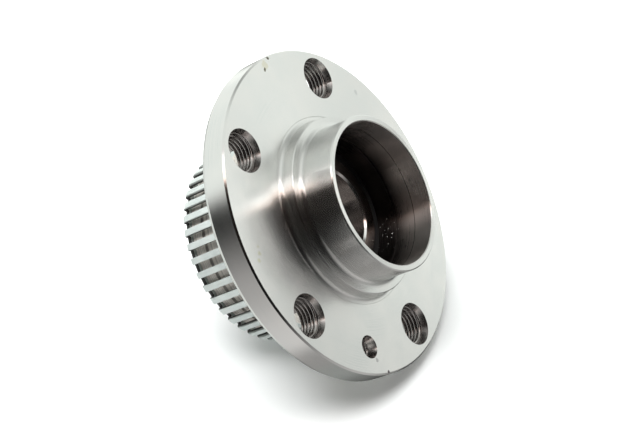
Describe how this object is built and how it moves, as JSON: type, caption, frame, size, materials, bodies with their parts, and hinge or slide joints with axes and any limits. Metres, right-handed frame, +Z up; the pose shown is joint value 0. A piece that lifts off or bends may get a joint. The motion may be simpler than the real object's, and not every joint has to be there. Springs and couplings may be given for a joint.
{
  "type": "wheel hub with bearing",
  "caption": "Flanged wheel hub turning on a sealed double-row ball bearing, with bolt holes, wheel pilot and slotted speed-sensor ring.",
  "frame": {"origin": "centre of the flange's front face, where the wheel and brake disc seat, on the hub's axis", "axes": "hub's axis along Y with the nose towards -Y and the stub axle entering from +Y; +Z up, with one wheel bolt hole at the bottom"},
  "size_m": [0.12, 0.0632, 0.12],
  "materials": {
    "turned_steel": "satin turned",
    "sensor_ring_zinc": "matte zinc plated",
    "bearing_steel": "ground, oiled",
    "clamp_spring_steel": "satin",
    "cage_polyamide": "moulded",
    "seal_case_steel": "phosphated",
    "seal_rubber": "greased",
    "flinger_steel": "pressed, satin",
    "ball_steel": "polished"
  },
  "bodies": {
    "inner_rings": {"outboard_inner_ring": "bearing_steel", "inboard_inner_ring": "bearing_steel", "clamp_ring": "clamp_spring_steel", "inboard_flinger": "flinger_steel"},
    "hub": {"hub_flange": "turned_steel", "tone_ring": "sensor_ring_zinc", "outboard_seal_case": "seal_case_steel", "outboard_seal_lip": "seal_rubber", "inboard_seal_case": "seal_case_steel", "inboard_seal_lip": "seal_rubber"},
    "outboard_ball_set": {"outboard_cage": "cage_polyamide", "outboard_ball_01": "ball_steel", "outboard_ball_02": "ball_steel", "outboard_ball_03": "ball_steel", "outboard_ball_04": "ball_steel", "outboard_ball_05": "ball_steel", "outboard_ball_06": "ball_steel", "outboard_ball_07": "ball_steel", "outboard_ball_08": "ball_steel", "outboard_ball_09": "ball_steel", "outboard_ball_10": "ball_steel", "outboard_ball_11": "ball_steel", "outboard_ball_12": "ball_steel", "outboard_ball_13": "ball_steel", "outboard_ball_14": "ball_steel", "outboard_ball_15": "ball_steel", "outboard_ball_16": "ball_steel"},
    "inboard_ball_set": {"inboard_cage": "cage_polyamide", "inboard_ball_01": "ball_steel", "inboard_ball_02": "ball_steel", "inboard_ball_03": "ball_steel", "inboard_ball_04": "ball_steel", "inboard_ball_05": "ball_steel", "inboard_ball_06": "ball_steel", "inboard_ball_07": "ball_steel", "inboard_ball_08": "ball_steel", "inboard_ball_09": "ball_steel", "inboard_ball_10": "ball_steel", "inboard_ball_11": "ball_steel", "inboard_ball_12": "ball_steel", "inboard_ball_13": "ball_steel", "inboard_ball_14": "ball_steel", "inboard_ball_15": "ball_steel", "inboard_ball_16": "ball_steel"}
  },
  "joints": [
    {"name": "hub_spin", "type": "hinge", "parent": "inner_rings", "child": "hub", "pos_m": [0, 0.02362, 0], "axis": [0, -1, 0], "continuous": true},
    {"name": "outboard_ball_spin", "type": "hinge", "parent": "inner_rings", "child": "outboard_ball_set", "pos_m": [0, 0.01402, 0], "axis": [0, -1, 0], "continuous": true},
    {"name": "inboard_ball_spin", "type": "hinge", "parent": "inner_rings", "child": "inboard_ball_set", "pos_m": [0, 0.03322, 0], "axis": [0, -1, 0], "continuous": true}
  ],
  "couplings": [
    {"joint": "outboard_ball_spin", "follows": "hub_spin", "ratio": 0.5648},
    {"joint": "inboard_ball_spin", "follows": "hub_spin", "ratio": 0.5648}
  ]
}
